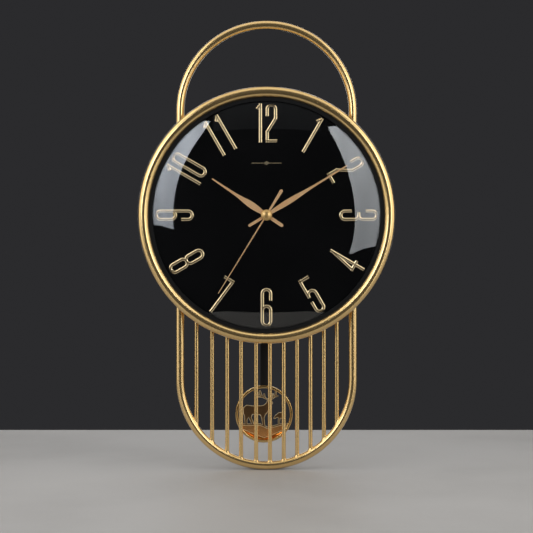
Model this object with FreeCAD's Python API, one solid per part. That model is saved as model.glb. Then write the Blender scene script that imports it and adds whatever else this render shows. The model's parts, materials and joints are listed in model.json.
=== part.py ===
import FreeCAD, Part
import math
import os

V = FreeCAD.Vector
ACROSS = V(1, 0, 0)
BACK = V(0, 1, 0)
UP = V(0, 0, 1)

# A pendulum clock that stands on a table, in millimetres: +X right, +Y to the back, +Z up.
# Depths in this script count from the plane of the hoop, positive to the back.

# Whole clock
dial_height = 309.0
fit_clearance = 0.02
running_clearance = 0.06
cut_overrun = 1.0

# Hoop of round bar, in an upper and a lower bend
hoop_radius = 105.0
hoop_rise = 127.0
hoop_bar_radius = 5.0
hoop_plug_length = 20.0

# Upright bars of the grille, at shares of the hoop's radius from its middle
grille_bar_radius = 2.5
grille_bar_plug = 3.0
bar_place_shares = (-0.81, -0.63, -0.455, -0.295, -0.12, 0.04, 0.2, 0.355, 0.51, 0.665, 0.815)

# Drum of the dial head
band_step = 2.0
band_wall = 1.5
band_front = -9.0
band_back = 36.0
flange_width = 11.0
flange_thickness = 1.0
sleeve_wall = 2.0
grub_screw_radius = 2.0
grub_screw_length = 4.0
grub_key_radius = 1.1
grub_key_depth = 2.0
lug_count = 6
lug_width = 12.0
lug_depth = 8.0
lug_reach = 16.0
slot_front = 6.5
slot_back = 13.5

# Rear cover with its pressed-out panel and window
cover_thickness = 1.2
cover_rim_width = 18.0
cover_slope_width = 6.0
cover_pan_rise = 4.0
window_width = 86.0
window_height = 124.0
window_corner = 9.0
window_drop = 28.0
screw_radius = 1.5
screw_length = 9.0
screw_head_radius = 2.8
screw_head_height = 1.9
screw_slot_width = 0.7
screw_slot_depth = 0.8

# Dial, glass, gasket and bezel
dial_thickness = 1.2
dial_edge_gap = 0.4
gasket_inner_radius = 138.0
gasket_width = 6.0
gasket_depth = 4.0
gasket_lip = 0.8
glass_seat_width = 3.0
glass_thickness = 2.0
glass_rise = 17.0
bezel_overlap = 1.6
bezel_width = 12.6
bezel_lip = 0.8
bezel_skirt_wall = 2.4
bezel_skirt_depth = 3.0

# Hour numerals, stroke by stroke
numeral_margin = 3.0
numeral_height = 47.0
numeral_width = 13.8
numeral_stroke = 3.7
numeral_thickness = 1.4
numeral_bevel_width = 1.2
numeral_bevel_depth = 0.65
numeral_gap = 4.5
ones_gap = 8.6
one_width = 7.3
one_flag_start_share = 0.35
one_flag_drop_share = 0.1
bowl_top_share = 0.57
terminal_share = 0.175
five_bowl_top_share = 0.66
five_terminal_share = 0.21
two_bend_share = 0.6
two_slope_top_share = 0.62
two_slope_low_share = 0.27
two_heel_share = 0.3
four_bar_share = 0.27
four_stem_share = 0.64
seven_foot_share = 0.48

# Ornament above the hands
ornament_drop = 25.0
ornament_width = 36.0
ornament_line = 0.9
ornament_lozenge_width = 8.0
ornament_lozenge_height = 5.0
ornament_thickness = 0.6

# Hands
hour_hand_shortfall = 9.0
hour_hand_tail = 24.0
hour_hand_width = 8.0
hour_hand_angle = 303.8
minute_hand_reach = 26.0
minute_hand_tail = 25.5
minute_hand_width = 6.6
minute_hand_angle = 58.4
second_hand_reach = 23.0
second_hand_tail = 36.0
second_hand_width = 4.0
second_hand_angle = 211.6
needle_width = 1.8
hand_root_share = 0.26
hand_neck_share = 0.4
hand_belly_share = 0.26
hand_taper_share = 0.27
hand_taper_place_share = 0.5
hand_slim_share = 0.16
hand_slim_place_share = 0.76
hand_tip_share = 0.1
hand_thickness = 0.6
hand_step = 0.7
hub_radius = 6.0
hub_cap_radius = 6.9
hub_cap_height = 3.2

# Fixing of the movement in the dial
stem_radius = 4.0
washer_radius = 6.2
rubber_washer_radius = 9.0
rubber_washer_thickness = 1.0
mounting_washer_thickness = 0.5
mounting_nut_thickness = 1.6
mounting_nut_flats = 10.8

# Pendulum movement
movement_width = 73.0
movement_height = 111.0
movement_corner = 5.0
movement_top_rise = 28.0
movement_wall = 1.5
movement_front_depth = 12.0
movement_rear_depth = 16.5
motor_room_drop = 22.5
coil_room_width = 15.0
battery_radius = 7.25
battery_length = 49.2
battery_nub_radius = 2.75
battery_nub_length = 1.3
battery_clearance = 0.3
battery_place = 26.5
battery_drop = 105.5
contact_thickness = 0.5
contact_width = 7.0
contact_spring_height = 1.6

# Wheels of the movement
hour_tube_radius = 2.6
minute_tube_radius = 1.7
second_arbor_radius = 0.6
arbor_radius = 0.5
boss_radius = 1.6
wheel_thickness = 1.0
pinion_length = 2.0
tooth_root_share = 0.3
tooth_tip_share = 0.1
addendum_share = 0.65
dedendum_share = 0.9
rotor_teeth = 6
transmission_teeth = 36
transmission_pinion_teeth = 6
second_wheel_teeth = 30
second_pinion_teeth = 6
third_wheel_teeth = 48
third_pinion_teeth = 6
centre_wheel_teeth = 45
cannon_pinion_teeth = 8
minute_wheel_teeth = 24
minute_pinion_teeth = 6
hour_wheel_teeth = 24
knob_pinion_teeth = 8
third_distance = 13.0
third_direction = 150.0
transmission_distance = 10.4
transmission_direction = 30.0
rotor_distance = 9.8
rotor_direction = 0.0
motion_distance = 8.5
motion_direction = 270.0
hour_wheel_depth = -6.0
minute_wheel_depth = -4.0
centre_wheel_depth = -1.5
third_wheel_depth = 1.5
second_wheel_depth = 4.5
transmission_wheel_depth = 7.5
rotor_magnet_radius = 3.0
rotor_magnet_front = 9.6
rotor_magnet_length = 3.4
stator_gap = 0.5
stator_width = 6.0
stator_thickness = 1.0
coil_radius = 3.6
coil_length = 18.0
coil_rise = 18.0
drive_coil_radius = 5.0
knob_radius = 6.5
knob_length = 4.0
knob_flutes = 12
knob_flute_radius = 0.8
knob_shaft_radius = 1.5

# Pendulum
pendulum_offset = -3.0
pivot_drop = 40.0
pivot_pin_radius = 1.0
swing_deg = 8.0
arm_front = 7.0
arm_thickness = 2.4
arm_width = 9.0
arm_length = 52.0
arm_slot_clearance = 0.6
peg_radius = 1.5
peg_length = 2.6
rod_width = 9.2
rod_thickness = 2.0
rod_lap = 9.0
bob_height = 66.5
bob_radius = 35.0
bob_ring_width = 3.4
bob_ring_depth = 6.0
figure_thickness = 2.0
base_thickness = 4.6

# Flat foot behind the lowest point of the hoop
foot_bend_radius = 19.0
foot_bar_width = 11.0
foot_thickness = 4.0
foot_splay_deg = 19.0
foot_front = 3.6
foot_reach = 104.0

# Sizes that follow from the ones above
gasket_outer_radius = gasket_inner_radius + gasket_width
glass_rim_radius = gasket_inner_radius + glass_seat_width
bezel_inner_radius = gasket_outer_radius - bezel_overlap
band_radius = gasket_outer_radius + band_step
band_inner = band_radius - band_wall
numeral_inner_radius = gasket_inner_radius - numeral_margin - numeral_height
ornament_rise = numeral_inner_radius - ornament_drop
hour_hand_length = numeral_inner_radius - hour_hand_shortfall
minute_hand_length = numeral_inner_radius + minute_hand_reach
second_hand_length = numeral_inner_radius + second_hand_reach
dial_back = band_front
dial_front = dial_back - dial_thickness
gasket_front = dial_front - gasket_depth
glass_rim_front = dial_front - gasket_lip - glass_thickness
glass_front = glass_rim_front - glass_rise
movement_front = dial_back + rubber_washer_thickness
movement_split = movement_front + movement_front_depth
movement_back = movement_split + movement_rear_depth
movement_top = dial_height + movement_top_rise
movement_bottom = movement_top - movement_height
nut_front = dial_front - mounting_washer_thickness - mounting_nut_thickness
stem_front = nut_front - running_clearance
hour_hand_front = stem_front - hand_step
minute_hand_front = hour_hand_front - hand_thickness - hand_step
second_hand_front = minute_hand_front - hand_thickness - hand_step
upper_arc_height = dial_height + hoop_rise
lower_arc_height = hoop_radius + hoop_bar_radius
pivot_height = dial_height - pivot_drop
rod_front = arm_front + arm_thickness
bob_middle = rod_front + rod_thickness / 2
middle_depth = (glass_front + foot_reach) / 2


# Building blocks
def dial_disc(radius, front, back):
    """A disc or shaft on the hand axis, between two depths."""
    return Part.makeCylinder(radius, back - front, V(0, front, dial_height), BACK)


def pin(radius, x, z, front, back):
    """A round pin along the depth, at a place across and up."""
    return Part.makeCylinder(radius, back - front, V(x, front, z), BACK)


def block(left, right, front, back, bottom, top):
    return Part.makeBox(right - left, back - front, top - bottom, V(left, front, bottom))


def path(start, *steps):
    """A wire of lines, given by their ends, and arcs, given by a point on the way and their end."""
    edges = []
    here = start
    for step in steps:
        if len(step) == 1:
            edges.append(Part.LineSegment(here, step[0]).toShape())
        else:
            edges.append(Part.Arc(here, step[0], step[1]).toShape())
        here = step[-1]
    return Part.Wire(edges)


def turned(start, *steps):
    """A ring turned about the hand axis from a closed profile of radius and depth."""
    def at(point):
        return V(point[0], point[1], dial_height)

    profile = path(at(start), *[tuple(at(p) for p in step) for step in steps])
    return Part.Face(profile).revolve(V(0, 0, dial_height), BACK, 360)


def cut_out(points, front, back):
    """A flat piece with straight edges, from its corners across and up."""
    corners = [V(x, front, z) for x, z in points]
    return Part.Face(Part.makePolygon(corners + corners[:1])).extrude(BACK * (back - front))


def rounded_block(left, right, front, back, bottom, top, corner):
    """A block whose four edges along the depth are rounded."""
    raw = block(left, right, front, back, bottom, top)
    edges = [e for e in raw.Edges if abs(e.tangentAt(0).dot(BACK)) > math.cos(math.radians(1))]
    return raw.makeFillet(corner, edges)


def fused(shapes):
    whole = shapes[0].multiFuse(shapes[1:]) if len(shapes) > 1 else shapes[0]
    return whole.removeSplitter()


def turn_clockwise(shape, degrees):
    """Turns a piece about the hand axis, clockwise as the dial is read."""
    shape.rotate(V(0, 0, dial_height), BACK, degrees)
    return shape


# Hoop
def hoop_bend(arc_height, side, end_height):
    """Half circle of round bar with two straight legs that end inside the drum."""
    start = V(hoop_radius, 0, arc_height)
    disc = Part.Face(Part.Wire(Part.makeCircle(hoop_bar_radius, start, UP)))
    bend = disc.revolve(V(0, 0, arc_height), V(0, -side, 0), 180)
    legs = []
    for x in (-hoop_radius, hoop_radius):
        low = min(arc_height, end_height)
        leg = Part.makeCylinder(hoop_bar_radius, abs(arc_height - end_height), V(x, 0, low), UP)
        legs.append(leg)
    return fused([bend] + legs)


def wall_height(x, radius):
    """How far above or below the hand axis a circle of the drum lies, at a place across."""
    return math.sqrt(radius ** 2 - x ** 2)


leg_end = wall_height(hoop_radius, band_inner) - hoop_plug_length


def grille_bar(x):
    """One upright bar, coped to the lower bend and let into the drum's wall."""
    top = dial_height - wall_height(x, band_inner) + grille_bar_plug
    low = lower_arc_height - wall_height(x, hoop_radius)
    bar = Part.makeCylinder(grille_bar_radius, top - low, V(x, 0, low), UP)
    return bar.cut(lower_hoop)


# Dial head
def lug_places():
    for i in range(lug_count):
        angle = math.radians(360 * (i + 1 / 2) / lug_count)
        yield angle


def case_band():
    """Steel drum with a turned-in flange, sleeves for the hoop, lugs for the cover and its holes."""
    shell = turned(
        (band_radius, band_front),
        [(band_radius, band_back)],
        [(band_inner, band_back)],
        [(band_inner, band_front + flange_thickness)],
        [(band_inner - flange_width, band_front + flange_thickness)],
        [(band_inner - flange_width, band_front)],
        [(band_radius, band_front)],
    )
    inside = dial_disc(band_inner + band_wall / 2, band_front, band_back)
    extras = []
    for side in (-1, 1):
        for x in (-hoop_radius, hoop_radius):
            low = dial_height + side * leg_end - (hoop_plug_length * 2 if side < 0 else 0)
            sleeve = Part.makeCylinder(
                hoop_bar_radius + sleeve_wall, hoop_plug_length * 2, V(x, 0, low), UP
            )
            extras.append(sleeve.common(inside))
    for angle in lug_places():
        lug = block(
            band_inner - lug_reach, band_inner + band_wall / 2,
            band_back - lug_depth, band_back,
            dial_height - lug_width / 2, dial_height + lug_width / 2,
        )
        lug.rotate(V(0, 0, dial_height), BACK, math.degrees(angle))
        extras.append(lug.common(inside))
    band = fused([shell] + extras)
    holes = []
    for side in (-1, 1):
        for x in (-hoop_radius, hoop_radius):
            low = dial_height - band_radius if side < 0 else dial_height
            holes.append(Part.makeCylinder(
                hoop_bar_radius + fit_clearance, band_radius, V(x, 0, low), UP
            ))
            holes.append(pin(
                grub_screw_radius + fit_clearance, x, dial_height + side * (leg_end + hoop_plug_length / 4),
                0, grub_screw_length + hoop_bar_radius + cut_overrun,
            ))
    for share in bar_place_shares:
        x = share * hoop_radius
        low = dial_height - wall_height(x, band_radius) - hoop_bar_radius
        holes.append(Part.makeCylinder(
            grille_bar_radius + fit_clearance, hoop_bar_radius + hoop_plug_length, V(x, 0, low), UP
        ))
    for angle in lug_places():
        x, z = screw_place(angle)
        holes.append(pin(screw_radius + fit_clearance, x, z, band_back - lug_depth, band_back))
    half_slot = pendulum_sweep(pivot_height - dial_height + band_radius)
    holes.append(block(
        pendulum_offset - half_slot, pendulum_offset + half_slot, slot_front, slot_back,
        dial_height - band_radius - cut_overrun, dial_height - band_inner + hoop_bar_radius,
    ))
    return band.cut(holes)


def screw_place(angle):
    """Where a cover screw stands, across and up."""
    radius = band_inner - lug_reach / 2
    return radius * math.cos(angle), dial_height - radius * math.sin(angle)


def pendulum_sweep(below_pivot):
    """Half the width that the swinging rod needs at a depth below its pivot."""
    swing = math.radians(swing_deg)
    return below_pivot * math.tan(swing) + rod_width / 2 / math.cos(swing) + arm_slot_clearance


def rear_cover():
    """Pressed steel cover: flat rim, sloped step, panel with a window to the movement."""
    rim = band_radius
    step = rim - cover_rim_width
    pan = step - cover_slope_width
    front = band_back
    raised = front + cover_pan_rise
    cover = turned(
        (0, raised),
        [(pan, raised)],
        [(step, front)],
        [(rim, front)],
        [(rim, front + cover_thickness)],
        [(step, front + cover_thickness)],
        [(pan, raised + cover_thickness)],
        [(0, raised + cover_thickness)],
        [(0, raised)],
    )
    middle = dial_height - window_drop
    window = rounded_block(
        -window_width / 2, window_width / 2, front, raised + cover_thickness + cut_overrun,
        middle - window_height / 2, middle + window_height / 2, window_corner,
    )
    holes = [window]
    for angle in lug_places():
        x, z = screw_place(angle)
        holes.append(pin(screw_radius + running_clearance, x, z, front, front + cover_thickness))
    return cover.cut(holes)


def rear_screws():
    """Slotted screws that hold the cover to the lugs."""
    seat = band_back + cover_thickness
    screws = []
    for angle in lug_places():
        x, z = screw_place(angle)
        shank = pin(screw_radius, x, z, seat + cover_thickness - screw_length, seat)
        head = pin(screw_head_radius, x, z, seat, seat + screw_head_height)
        slot = block(
            x - screw_head_radius, x + screw_head_radius,
            seat + screw_head_height - screw_slot_depth, seat + screw_head_height,
            z - screw_slot_width / 2, z + screw_slot_width / 2,
        )
        screws.append(fused([shank, head.cut(slot)]))
    return Part.Compound(screws)


def socket_screws():
    """Grub screws that clamp the ends of the hoop in their sleeves."""
    screws = []
    for side in (-1, 1):
        for x in (-hoop_radius, hoop_radius):
            z = dial_height + side * (leg_end + hoop_plug_length / 4)
            body = pin(grub_screw_radius, x, z, hoop_bar_radius, hoop_bar_radius + grub_screw_length)
            end = hoop_bar_radius + grub_screw_length
            key = pin(grub_key_radius, x, z, end - grub_key_depth, end)
            screws.append(body.cut(key))
    return Part.Compound(screws)


def bezel_ring():
    """Half-round ring with a rebate for the gasket and a skirt over the drum."""
    outer = bezel_inner_radius + bezel_width
    crown = bezel_width / 2
    middle = bezel_inner_radius + crown
    waist = gasket_front - bezel_lip
    skirt = band_radius + fit_clearance
    rebate = gasket_outer_radius + fit_clearance
    return turned(
        (bezel_inner_radius, waist),
        [(middle, waist - crown), (outer, waist)],
        [(outer, band_front)],
        [(skirt + bezel_skirt_wall, band_front)],
        [(skirt + bezel_skirt_wall, band_front + bezel_skirt_depth)],
        [(skirt, band_front + bezel_skirt_depth)],
        [(skirt, band_front)],
        [(rebate, band_front)],
        [(rebate, gasket_front)],
        [(bezel_inner_radius, gasket_front)],
        [(bezel_inner_radius, waist)],
    )


def glass_gasket():
    """Black ring with a groove that holds the edge of the glass."""
    groove_front = glass_rim_front - fit_clearance
    groove_back = glass_rim_front + glass_thickness + fit_clearance
    groove = glass_rim_radius + fit_clearance
    return turned(
        (gasket_inner_radius, gasket_front),
        [(gasket_outer_radius, gasket_front)],
        [(gasket_outer_radius, dial_front)],
        [(gasket_inner_radius, dial_front)],
        [(gasket_inner_radius, groove_back)],
        [(groove, groove_back)],
        [(groove, groove_front)],
        [(gasket_inner_radius, groove_front)],
        [(gasket_inner_radius, gasket_front)],
    )


def glass_dome():
    """Domed glass with a flat rim, of even thickness."""
    edge = gasket_inner_radius - fit_clearance
    ball = (edge ** 2 + glass_rise ** 2) / (2 * glass_rise)

    def bulge(radius):
        return glass_front + ball - math.sqrt(ball ** 2 - radius ** 2)

    half = edge / 2
    rim_back = glass_rim_front + glass_thickness
    return turned(
        (0, glass_front),
        [(half, bulge(half)), (edge, glass_rim_front)],
        [(glass_rim_radius, glass_rim_front)],
        [(glass_rim_radius, rim_back)],
        [(edge, rim_back)],
        [(half, bulge(half) + glass_thickness), (0, glass_front + glass_thickness)],
        [(0, glass_front)],
    )


def dial_plate():
    plate = dial_disc(gasket_outer_radius - dial_edge_gap, dial_front, dial_back)
    return plate.cut(dial_disc(stem_radius + running_clearance, dial_front, dial_back))


# Numerals, drawn in a cell that starts at its lower left corner
numeral_front = dial_front - numeral_thickness
cell_radius = numeral_width / 2
cell_middle = cell_radius - numeral_stroke / 2
left_line = numeral_stroke / 2
right_line = numeral_width - numeral_stroke / 2


def stroke_section():
    """Corners of a stroke's section, its front edges bevelled: across the stroke, and depth."""
    half = numeral_stroke / 2
    flat = half - numeral_bevel_width
    shoulder = numeral_front + numeral_bevel_depth
    return (
        (-half, dial_front), (-half, shoulder), (-flat, numeral_front),
        (flat, numeral_front), (half, shoulder), (half, dial_front),
    )


def stroke(x0, z0, x1, z1):
    """A straight stroke with square ends between two points."""
    corners = [V(0, depth, across) for across, depth in stroke_section()]
    long = math.hypot(x1 - x0, z1 - z0)
    bar = Part.Face(Part.makePolygon(corners + corners[:1])).extrude(ACROSS * long)
    bar.rotate(V(0, 0, 0), BACK, -math.degrees(math.atan2(z1 - z0, x1 - x0)))
    bar.translate(V(x0, 0, z0))
    return bar


def hook(z, start_deg, sweep_deg):
    """Part of a ring as wide as the cell, round a centre at a height, counted from the right."""
    centre = V(cell_radius, 0, z)
    corners = [centre + V(cell_middle + across, depth, 0) for across, depth in stroke_section()]
    bend = Part.Face(Part.makePolygon(corners + corners[:1])).revolve(centre, -BACK, sweep_deg)
    bend.rotate(centre, -BACK, start_deg)
    return bend


def loop(bottom, top):
    """A closed long ring between two heights."""
    low = bottom + cell_radius
    high = top - cell_radius
    sides = [stroke(x, low, x, high) for x in (left_line, right_line)]
    return [hook(low, 180, 180), hook(high, 0, 180)] + sides


tall = numeral_height
waist_height = tall / 2
bowl_top = bowl_top_share * tall
terminal = terminal_share * tall


def figure_one():
    stem = one_width - numeral_stroke / 2
    root = tall - numeral_stroke / 2
    flag = stroke(one_flag_start_share * numeral_stroke, root - one_flag_drop_share * tall, stem, root)
    return [stroke(stem, 0, stem, tall), flag]


def figure_two():
    high = tall - cell_radius
    return [
        hook(high, 0, 180),
        stroke(left_line, high - terminal, left_line, high),
        stroke(right_line, two_bend_share * tall, right_line, high),
        stroke(right_line, two_slope_top_share * tall, left_line, two_slope_low_share * tall),
        stroke(left_line, 0, left_line, two_heel_share * tall),
        stroke(0, numeral_stroke / 2, numeral_width, numeral_stroke / 2),
    ]


def figure_three():
    high = tall - cell_radius
    return [
        hook(high, 0, 180),
        stroke(left_line, high - terminal, left_line, high),
        stroke(right_line, waist_height + cell_middle, right_line, high),
        hook(waist_height + cell_middle, 270, 90),
        hook(waist_height - cell_middle, 0, 90),
        stroke(cell_radius / 2, waist_height, cell_radius, waist_height),
        stroke(right_line, cell_radius, right_line, waist_height - cell_middle),
        hook(cell_radius, 180, 180),
        stroke(left_line, cell_radius, left_line, cell_radius + terminal),
    ]


def figure_four():
    stem = four_stem_share * numeral_width
    bar = four_bar_share * tall
    return [
        stroke(stem, 0, stem, tall),
        stroke(left_line, bar, stem, tall - numeral_stroke),
        stroke(0, bar, numeral_width, bar),
    ]


def figure_five():
    high = five_bowl_top_share * tall - cell_radius
    return [
        stroke(0, tall - numeral_stroke / 2, numeral_width, tall - numeral_stroke / 2),
        stroke(left_line, high - numeral_stroke / 2, left_line, tall),
        hook(high, 0, 180),
        stroke(right_line, cell_radius, right_line, high),
        hook(cell_radius, 180, 180),
        stroke(left_line, cell_radius, left_line, cell_radius + five_terminal_share * tall),
    ]


def figure_six():
    high = tall - cell_radius
    return loop(0, bowl_top) + [
        stroke(left_line, cell_radius, left_line, high),
        hook(high, 0, 180),
        stroke(right_line, high - terminal, right_line, high),
    ]


def figure_seven():
    return [
        stroke(0, tall - numeral_stroke / 2, numeral_width, tall - numeral_stroke / 2),
        stroke(seven_foot_share * numeral_width, 0, right_line, tall - numeral_stroke / 2),
    ]


def figure_eight():
    half_stroke = numeral_stroke / 2
    return loop(0, waist_height + half_stroke) + loop(waist_height - half_stroke, tall)


def figure_nine():
    parts = figure_six()
    for part in parts:
        part.rotate(V(cell_radius, 0, waist_height), BACK, 180)
    return parts


def figure_zero():
    return loop(0, tall)


FIGURES = {
    0: figure_zero, 1: figure_one, 2: figure_two, 3: figure_three, 4: figure_four,
    5: figure_five, 6: figure_six, 7: figure_seven, 8: figure_eight, 9: figure_nine,
}


def numeral(hour):
    """The figures of one hour side by side, heads outward above the middle and inward below it."""
    digits = [int(c) for c in str(hour)]
    widths = [one_width if d == 1 else numeral_width for d in digits]
    gap = numeral_gap
    start = -(sum(widths) + gap * (len(digits) - 1)) / 2
    if set(digits) == {1}:
        gap = ones_gap
        start = numeral_stroke / 2 - one_width - (one_width + gap) * (len(digits) - 1) / 2
    heads_in = 4 <= hour <= 8
    low = numeral_inner_radius + dial_height
    solids = []
    for digit, width in zip(digits, widths):
        figure = fused(FIGURES[digit]())
        figure.translate(V(start, 0, -waist_height))
        start += width + gap
        if heads_in:
            figure.rotate(V(0, 0, 0), BACK, 180)
        figure.translate(V(0, 0, low + waist_height))
        solids.append(turn_clockwise(figure, 30 * hour))
    return Part.Compound(solids)


def dial_ornament():
    """A thin line with a lozenge at its middle."""
    z = dial_height + ornament_rise
    line = block(
        -ornament_width / 2, ornament_width / 2, dial_front - ornament_thickness, dial_front,
        z - ornament_line / 2, z + ornament_line / 2,
    )
    wide = ornament_lozenge_width / 2
    high = ornament_lozenge_height / 2
    corners = [(-wide, z), (0, z + high), (wide, z), (0, z - high)]
    return fused([line, cut_out(corners, dial_front - ornament_thickness, dial_front)])


# Hands, drawn pointing at twelve and then turned
def leaf_hand(length, tail, width, front, bore, angle):
    """A leaf-shaped hand: slim at the hub, full at a quarter of its length, with a rounded tail."""
    z = dial_height
    root = hand_root_share * width
    tip = hand_tip_share * width
    belly = hand_belly_share * length
    taper = hand_taper_place_share * length
    slim = hand_slim_place_share * length
    flank = Part.BSplineCurve()
    flank.interpolate([
        V(root, front, z), V(hand_neck_share * width, front, z + belly / 2),
        V(width / 2, front, z + belly), V(hand_taper_share * width, front, z + taper),
        V(hand_slim_share * width, front, z + slim), V(tip, front, z + length),
    ])
    right = flank.toShape()
    left = right.mirror(V(0, 0, 0), ACROSS)
    heel = z - tail + root
    outline = Part.Wire(Part.__sortEdges__([
        right, left,
        Part.LineSegment(V(-tip, front, z + length), V(tip, front, z + length)).toShape(),
        Part.LineSegment(V(root, front, z), V(root, front, heel)).toShape(),
        Part.Arc(V(root, front, heel), V(0, front, z - tail), V(-root, front, heel)).toShape(),
        Part.LineSegment(V(-root, front, heel), V(-root, front, z)).toShape(),
    ]))
    blade = Part.Face(outline).extrude(BACK * hand_thickness)
    hub = dial_disc(hub_radius, front, front + hand_thickness)
    hand = fused([blade, hub]).cut(dial_disc(bore + fit_clearance, front, front + hand_thickness))
    return turn_clockwise(hand, angle)


def second_hand():
    """A needle with a tail that widens to a rounded end."""
    front = second_hand_front
    z = dial_height
    half = needle_width / 2
    broad = second_hand_width / 2
    heel = z - second_hand_tail + broad
    outline = path(
        V(half / 2, front, z + second_hand_length),
        (V(half, front, z),),
        (V(broad, front, heel),),
        (V(0, front, z - second_hand_tail), V(-broad, front, heel)),
        (V(-half, front, z),),
        (V(-half / 2, front, z + second_hand_length),),
        (V(half / 2, front, z + second_hand_length),),
    )
    blade = Part.Face(outline).extrude(BACK * hand_thickness)
    hub = dial_disc(hub_radius - hand_thickness, front, front + hand_thickness)
    bore = dial_disc(second_arbor_radius + fit_clearance, front, front + hand_thickness)
    return turn_clockwise(fused([blade, hub]).cut(bore), second_hand_angle)


def hub_cap():
    """Polished dome pressed on the end of the second hand's arbor."""
    ball = (hub_cap_radius ** 2 + hub_cap_height ** 2) / (2 * hub_cap_height)
    half = hub_cap_radius / 2
    crest = second_hand_front - hub_cap_height
    shoulder = crest + ball - math.sqrt(ball ** 2 - half ** 2)
    socket = second_arbor_radius + fit_clearance
    socket_depth = second_hand_front - hand_step - fit_clearance
    return turned(
        (0, crest),
        [(half, shoulder), (hub_cap_radius, second_hand_front)],
        [(socket, second_hand_front)],
        [(socket, socket_depth)],
        [(0, socket_depth)],
        [(0, crest)],
    )


# Toothed wheels
def wheel_spot(distance, direction, start=(0, 0)):
    """A place across and up from the hand axis, at a distance and direction from another place."""
    angle = math.radians(direction)
    return start[0] + distance * math.cos(angle), start[1] + distance * math.sin(angle)


def toothed(spot, radius, teeth, phase, front, back):
    """A toothed disc with slim teeth; one tooth points along the phase, in degrees from the right."""
    module = 2 * radius / teeth
    tip = radius + addendum_share * module
    root = radius - dedendum_share * module
    corners = []
    for i in range(teeth):
        for share, reach in (
            (-tooth_root_share, root), (-tooth_tip_share, tip),
            (tooth_tip_share, tip), (tooth_root_share, root),
        ):
            angle = math.radians(phase + 360 * (i + share) / teeth)
            corners.append((
                spot[0] + reach * math.cos(angle),
                dial_height + spot[1] + reach * math.sin(angle),
            ))
    return cut_out(corners, front, back)


def meshed_phase(phase, teeth, direction, partner_teeth):
    """The phase that lets a partner's teeth fall between those of a wheel, seen along a direction."""
    place = (direction - phase) * teeth / 360
    partner_place = 1 / 2 - place
    return direction + 180 - partner_place * 360 / partner_teeth


def pitch_radius(distance, teeth, partner_teeth):
    return distance * teeth / (teeth + partner_teeth)


third_spot = wheel_spot(third_distance, third_direction)
transmission_spot = wheel_spot(transmission_distance, transmission_direction)
rotor_spot = wheel_spot(rotor_distance, rotor_direction, transmission_spot)
minute_spot = wheel_spot(motion_distance, motion_direction)
knob_distance = pitch_radius(motion_distance, minute_wheel_teeth, cannon_pinion_teeth)
knob_distance += knob_distance * knob_pinion_teeth / minute_wheel_teeth
knob_spot = wheel_spot(knob_distance, motion_direction, minute_spot)


def wheel_at(spot, distance, teeth, partner_teeth, phase, front):
    radius = pitch_radius(distance, teeth, partner_teeth)
    return toothed(spot, radius, teeth, phase, front, front + wheel_thickness)


def pinion_at(spot, distance, teeth, partner_teeth, phase, front):
    radius = pitch_radius(distance, teeth, partner_teeth)
    middle = front + wheel_thickness / 2
    return toothed(spot, radius, teeth, phase, middle - pinion_length / 2, middle + pinion_length / 2)


def arbor(spot, radius, front, back):
    return pin(radius, spot[0], dial_height + spot[1], front, back)


def rotor():
    """Magnet and pinion of the stepping motor."""
    return fused([
        pinion_at(rotor_spot, rotor_distance, rotor_teeth, transmission_teeth,
                  rotor_direction + 180, transmission_wheel_depth),
        arbor(rotor_spot, rotor_magnet_radius, rotor_magnet_front, rotor_magnet_front + rotor_magnet_length),
        arbor(rotor_spot, arbor_radius, second_wheel_depth + wheel_thickness,
              movement_back - 2 * movement_wall),
    ])


def transmission_wheel():
    """First reducing wheel, running on a stud of the rear case."""
    phase = meshed_phase(rotor_direction + 180, rotor_teeth, rotor_direction + 180, transmission_teeth)
    body = fused([
        wheel_at(transmission_spot, rotor_distance, transmission_teeth, rotor_teeth,
                 phase, transmission_wheel_depth),
        pinion_at(transmission_spot, transmission_distance, transmission_pinion_teeth, second_wheel_teeth,
                  transmission_direction + 180, second_wheel_depth),
        arbor(transmission_spot, 2 * arbor_radius, second_wheel_depth, transmission_wheel_depth),
    ])
    bore = arbor(
        transmission_spot, arbor_radius + running_clearance,
        second_wheel_depth - pinion_length, movement_back,
    )
    return body.cut(bore)


def second_wheel():
    """Wheel and pinion that turn with the second hand, on its long arbor."""
    toward = transmission_direction + 180
    phase = meshed_phase(toward, transmission_pinion_teeth, toward, second_wheel_teeth)
    return fused([
        wheel_at((0, 0), transmission_distance, second_wheel_teeth, transmission_pinion_teeth,
                 phase, second_wheel_depth),
        pinion_at((0, 0), third_distance, second_pinion_teeth, third_wheel_teeth,
                  third_direction, third_wheel_depth),
        dial_disc(second_arbor_radius, second_hand_front - hand_step,
                  second_wheel_depth + 2 * pinion_length),
    ])


def third_wheel():
    """Second reducing wheel, on an arbor between the two cases."""
    phase = meshed_phase(third_direction, second_pinion_teeth, third_direction, third_wheel_teeth)
    return fused([
        wheel_at(third_spot, third_distance, third_wheel_teeth, second_pinion_teeth,
                 phase, third_wheel_depth),
        pinion_at(third_spot, third_distance, third_pinion_teeth, centre_wheel_teeth,
                  third_direction + 180, centre_wheel_depth),
        arbor(third_spot, arbor_radius, movement_front + movement_wall + fit_clearance,
              transmission_wheel_depth),
    ])


def centre_wheel():
    """Wheel and cannon pinion that turn with the minute hand, on a tube."""
    toward = third_direction + 180
    phase = meshed_phase(toward, third_pinion_teeth, toward, centre_wheel_teeth)
    body = fused([
        wheel_at((0, 0), third_distance, centre_wheel_teeth, third_pinion_teeth, phase, centre_wheel_depth),
        pinion_at((0, 0), motion_distance, cannon_pinion_teeth, minute_wheel_teeth,
                  motion_direction, minute_wheel_depth),
        dial_disc(minute_tube_radius, minute_hand_front, centre_wheel_depth),
    ])
    bore = dial_disc(second_arbor_radius + running_clearance, minute_hand_front, third_wheel_depth)
    return body.cut(bore)


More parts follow.
